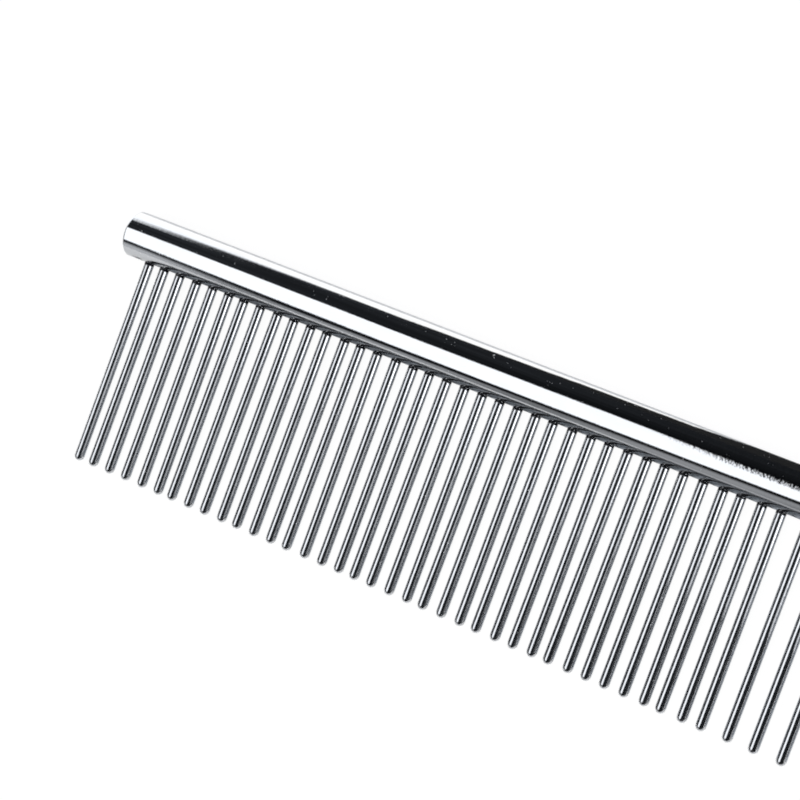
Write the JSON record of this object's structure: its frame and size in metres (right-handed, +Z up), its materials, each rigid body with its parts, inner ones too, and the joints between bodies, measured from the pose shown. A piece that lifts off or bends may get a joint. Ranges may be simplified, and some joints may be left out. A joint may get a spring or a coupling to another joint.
{
  "type": "grooming comb",
  "caption": "Straight steel pet grooming comb: a round spine bar with long round-tipped pins, closely spaced along one half and wider apart along the other.",
  "frame": {"origin": "middle of the comb's footprint, on the surface that it lies on", "axes": "+X along the spine towards the coarse end, +Y across the comb away from the pin tips, +Z up from the surface that the comb lies on"},
  "size_m": [0.1906, 0.0328, 0.0059],
  "materials": {
    "spine_chrome": "bright chrome plate with faint lengthwise polishing lines and fine scratches",
    "pin_chrome": "bright chrome plate on drawn wire, with faint lengthwise drawing lines"
  },
  "bodies": {
    "root": {"spine": "spine_chrome", "coarse_pin_01": "pin_chrome", "coarse_pin_02": "pin_chrome", "coarse_pin_03": "pin_chrome", "coarse_pins_04_05": "pin_chrome", "coarse_pins_06_07": "pin_chrome", "coarse_pins_08_09": "pin_chrome", "coarse_pins_10_11": "pin_chrome", "coarse_pins_12_13": "pin_chrome", "coarse_pins_14_15": "pin_chrome", "coarse_pins_16_17": "pin_chrome", "coarse_pins_18_19": "pin_chrome", "coarse_pins_20_21": "pin_chrome", "coarse_pins_22_23": "pin_chrome", "coarse_pins_24_25": "pin_chrome", "coarse_pins_26_27": "pin_chrome", "fine_pin_01": "pin_chrome", "fine_pin_02": "pin_chrome", "fine_pin_03": "pin_chrome", "fine_pin_04": "pin_chrome", "fine_pin_05": "pin_chrome", "fine_pin_06": "pin_chrome", "fine_pin_07": "pin_chrome", "fine_pin_08": "pin_chrome", "fine_pin_09": "pin_chrome", "fine_pin_10": "pin_chrome", "fine_pin_11": "pin_chrome", "fine_pin_12": "pin_chrome", "fine_pin_13": "pin_chrome", "fine_pin_14": "pin_chrome", "fine_pin_15": "pin_chrome", "fine_pin_16": "pin_chrome", "fine_pin_17": "pin_chrome", "fine_pin_18": "pin_chrome", "fine_pin_19": "pin_chrome", "fine_pin_20": "pin_chrome", "fine_pin_21": "pin_chrome", "fine_pin_22": "pin_chrome", "fine_pin_23": "pin_chrome", "fine_pin_24": "pin_chrome", "fine_pin_25": "pin_chrome", "fine_pin_26": "pin_chrome", "fine_pin_27": "pin_chrome", "fine_pin_28": "pin_chrome", "fine_pin_29": "pin_chrome", "fine_pin_30": "pin_chrome", "fine_pin_31": "pin_chrome", "fine_pin_32": "pin_chrome", "fine_pin_33": "pin_chrome", "fine_pin_34": "pin_chrome", "fine_pin_35": "pin_chrome", "fine_pin_36": "pin_chrome", "fine_pin_37": "pin_chrome"}
  },
  "joints": []
}
